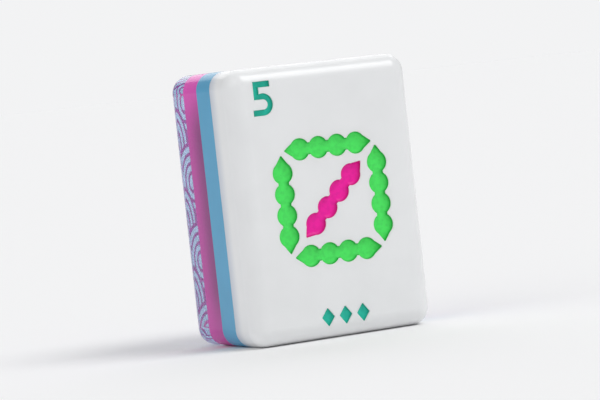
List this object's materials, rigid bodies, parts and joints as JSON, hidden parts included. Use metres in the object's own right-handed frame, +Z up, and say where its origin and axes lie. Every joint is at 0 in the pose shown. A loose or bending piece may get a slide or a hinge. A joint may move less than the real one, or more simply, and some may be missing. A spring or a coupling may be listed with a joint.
{
  "type": "mahjong tile",
  "caption": "Upright game tile laminated from white, blue, magenta and clear plates, with engraved painted sticks and a numeral on its face and a wave pattern under its clear back.",
  "frame": {"origin": "middle of the tile's lower end, which stands on the table", "axes": "+Z up along the tile's height, +X across the face to the viewer's right, and the face looks along -Y"},
  "size_m": [0.022, 0.016, 0.03],
  "materials": {
    "white_acrylic": "polished white acrylic, slightly translucent",
    "blue_acrylic": "polished opaque light blue acrylic",
    "magenta_acrylic": "polished translucent magenta acrylic",
    "clear_acrylic": "polished clear acrylic",
    "pattern_paint": "light blue paint seen through the clear plate",
    "teal_paint": "enamel paint",
    "green_paint": "enamel paint",
    "pink_paint": "enamel paint"
  },
  "bodies": {
    "root": {"face_block": "white_acrylic", "blue_band": "blue_acrylic", "magenta_band": "magenta_acrylic", "clear_back": "clear_acrylic", "wave_print": "pattern_paint", "numeral_five": "teal_paint", "stick_top": "green_paint", "stick_bottom": "green_paint", "stick_left": "green_paint", "stick_right": "green_paint", "stick_diagonal": "pink_paint", "suit_mark": "teal_paint"}
  },
  "joints": []
}
